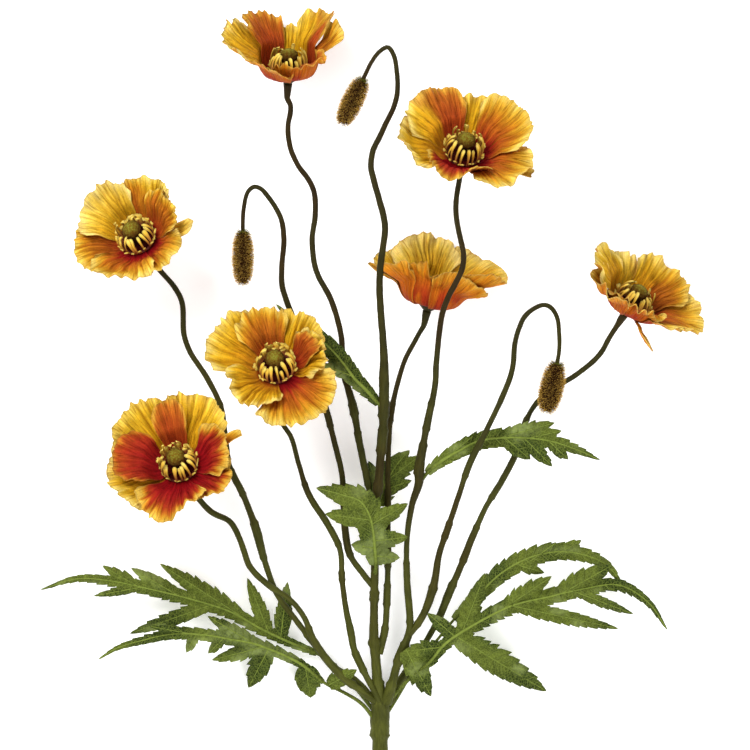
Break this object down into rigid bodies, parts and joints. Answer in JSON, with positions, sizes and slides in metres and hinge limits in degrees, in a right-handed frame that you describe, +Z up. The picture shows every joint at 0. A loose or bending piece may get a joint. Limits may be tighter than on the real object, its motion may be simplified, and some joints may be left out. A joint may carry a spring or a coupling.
{
  "type": "poppy flower spray",
  "caption": "Cut spray of open orange-yellow poppies and nodding hairy buds on wavy branched stems with lobed leaves, lying on its back.",
  "frame": {"origin": "on the surface, under the middle of the spray's bounding box", "axes": "+Y from the cut end to the blooms, +X to the right as seen from above, +Z up from the surface it lies on"},
  "size_m": [0.497, 0.5996, 0.1173],
  "materials": {
    "petals": "crinkled silk, golden rims, orange to crimson throat",
    "stamens": "matt golden yellow",
    "capsule": "mottled olive green",
    "stem": "matt olive to dark brown, fine lengthwise streaks",
    "bud": "olive brown with short hairs",
    "leaf": "satin mid green with a lighter vein net"
  },
  "bodies": {
    "root": {"main_stem": "stem", "bloom_2_stem": "stem", "bloom_5_stem": "stem", "bloom_1_stem": "stem", "bloom_3_stem": "stem", "bloom_7_stem": "stem", "bloom_6_stem": "stem", "bloom_4_stem": "stem", "bud_2_stem": "stem", "bud_3_stem": "stem", "leaf_left_upper": "leaf", "leaf_left_lower": "leaf", "leaf_right": "leaf", "leaf_right_arching": "leaf", "leaf_right_middle": "leaf", "leaf_behind": "leaf", "leaf_front": "leaf", "leaf_upper": "leaf", "bud_1": "bud", "bud_2": "bud", "bud_3": "bud", "bloom_1_petals": "petals", "bloom_1_stamens": "stamens", "bloom_1_capsule": "capsule", "bloom_2_petals": "petals", "bloom_2_stamens": "stamens", "bloom_2_capsule": "capsule", "bloom_3_petals": "petals", "bloom_3_stamens": "stamens", "bloom_3_capsule": "capsule", "bloom_4_petals": "petals", "bloom_4_stamens": "stamens", "bloom_4_capsule": "capsule", "bloom_5_petals": "petals", "bloom_5_stamens": "stamens", "bloom_5_capsule": "capsule", "bloom_6_petals": "petals", "bloom_6_stamens": "stamens", "bloom_6_capsule": "capsule", "bloom_7_petals": "petals", "bloom_7_stamens": "stamens", "bloom_7_capsule": "capsule"}
  },
  "joints": []
}
